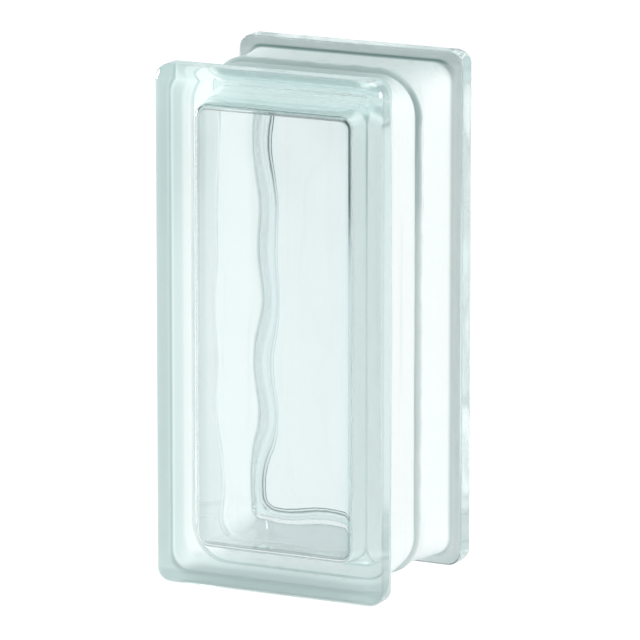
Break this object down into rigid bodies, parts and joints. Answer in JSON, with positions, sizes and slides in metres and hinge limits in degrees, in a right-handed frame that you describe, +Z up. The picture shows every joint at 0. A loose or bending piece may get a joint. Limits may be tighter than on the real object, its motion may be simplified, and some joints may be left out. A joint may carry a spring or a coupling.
{
  "type": "glass block",
  "caption": "Upright hollow clear glass block for walls: flat outer faces, waves pressed inside, rounded rims and set-back sides that key into mortar.",
  "frame": {"origin": "middle of the footprint, on the floor that the block stands on", "axes": "+X across the width, +Y from the front face to the back face, +Z up along the height"},
  "size_m": [0.09, 0.08, 0.19],
  "materials": {
    "clear_glass": "clear pressed glass with a faint cyan-green tint and smooth faces, and a thin matt off-white coat on the set-back sides between the rims"
  },
  "bodies": {
    "root": {"glass_block": "clear_glass"}
  },
  "joints": []
}
